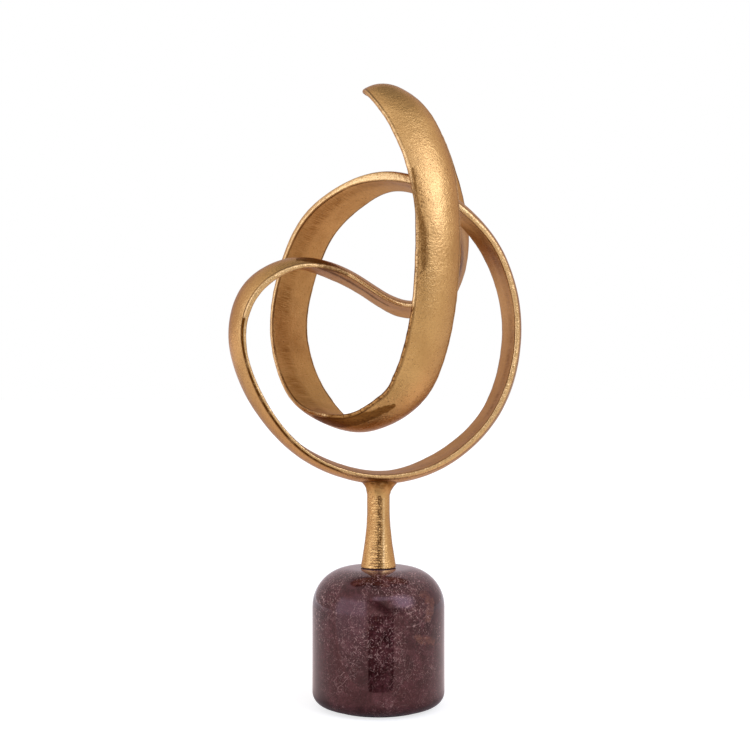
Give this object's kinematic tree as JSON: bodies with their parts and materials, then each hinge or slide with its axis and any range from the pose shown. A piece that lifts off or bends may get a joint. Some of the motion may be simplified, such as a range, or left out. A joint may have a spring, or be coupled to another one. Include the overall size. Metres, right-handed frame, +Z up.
{
  "type": "knot sculpture on a marble base",
  "caption": "Table ornament: a cast metal ribbon looped into a closed knot, welded to a tapered stem that bolts to a round-shouldered marble base with a felt pad.",
  "frame": {"origin": "centre of the felt pad's underside, on the table", "axes": "+Z up along the stem, -Y towards the viewer of the front, +X to that viewer's right"},
  "size_m": [0.2222, 0.1367, 0.4689],
  "materials": {
    "antique_gold": "sand-cast aluminium under a satin antique-gold finish, finely pitted, browner in the recesses",
    "gold_weld": "rough weld under the same antique-gold finish, dark brown in the hollows",
    "brown_marble": "polished dark brown marble with pale veins and flecks",
    "black_felt": "matt felt",
    "black_rubber": "matt rubber",
    "zinc_steel": "zinc plated"
  },
  "bodies": {
    "base": {"marble_base": "brown_marble", "felt_pad": "black_felt", "seat_washer": "black_rubber"},
    "knot": {"blade_casting": "antique_gold", "inner_loop_casting": "antique_gold", "outer_hoop_casting": "antique_gold", "rear_strand_casting": "antique_gold", "stem": "antique_gold", "stem_weld": "gold_weld", "threaded_stud": "zinc_steel", "flat_washer": "zinc_steel", "spring_washer": "zinc_steel", "hex_nut": "zinc_steel"}
  },
  "joints": [
    {"name": "knot_swivel", "type": "hinge", "parent": "base", "child": "knot", "pos_m": [0, 0, 0.1043], "axis": [0, 0, 1], "continuous": true}
  ]
}
